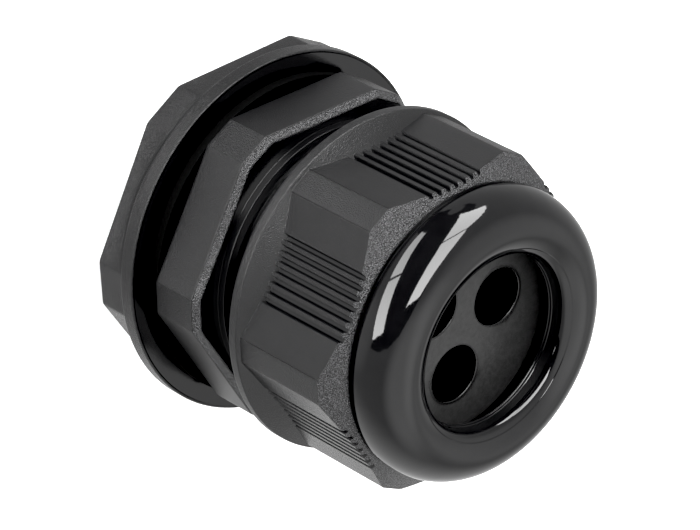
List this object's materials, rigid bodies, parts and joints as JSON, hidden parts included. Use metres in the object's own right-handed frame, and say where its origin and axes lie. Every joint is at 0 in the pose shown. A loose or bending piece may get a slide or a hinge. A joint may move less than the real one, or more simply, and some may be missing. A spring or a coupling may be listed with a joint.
{
  "type": "cable gland",
  "caption": "Black plastic cable gland with a hexagon body, a domed cap nut, a rubber seal with separate cable holes, a flat gasket and a flanged locknut.",
  "frame": {"origin": "centre of the body's entry end, on the gland's axis", "axes": "+Z along the axis, from the entry thread to the domed cap nut; +X through a corner of the body's hexagon; a pair of the body's spanner flats faces +Y and -Y"},
  "size_m": [0.0396, 0.0396, 0.0426],
  "materials": {
    "nylon_body": "fine spark-eroded moulded texture",
    "nylon_locknut": "fine spark-eroded moulded texture",
    "nylon_cap": "textured hexagon with a polished dome",
    "nylon_cage": "plain moulded",
    "rubber_seal": "matte moulded rubber",
    "rubber_gasket": "matte die-cut rubber"
  },
  "bodies": {
    "gland_body": {"body": "nylon_body"},
    "cage_and_seal": {"clamping_cage": "nylon_cage", "seal": "rubber_seal"},
    "cap": {"cap_nut": "nylon_cap"},
    "gasket_ring": {"gasket": "rubber_gasket"},
    "nut": {"locknut": "nylon_locknut"}
  },
  "joints": [
    {"name": "cap_travel", "type": "slide", "parent": "gland_body", "child": "cage_and_seal", "axis": [0, 0, 1], "range_m": [-0.00301, 0.00226]},
    {"name": "cap_turn", "type": "hinge", "parent": "cage_and_seal", "child": "cap", "pos_m": [0, 0, 0.03], "axis": [0, 0, 1], "range_deg": [-720, 540]},
    {"name": "locknut_travel", "type": "slide", "parent": "gland_body", "child": "gasket_ring", "axis": [0, 0, 1], "range_m": [-0.00319, 0]},
    {"name": "locknut_turn", "type": "hinge", "parent": "gasket_ring", "child": "nut", "pos_m": [0, 0, 0.007], "axis": [0, 0, 1], "range_deg": [-720, 0]}
  ],
  "couplings": [
    {"joint": "cap_travel", "follows": "cap_turn", "m_per_rad": 0.00023873},
    {"joint": "locknut_travel", "follows": "locknut_turn", "m_per_rad": 0.00025266}
  ]
}
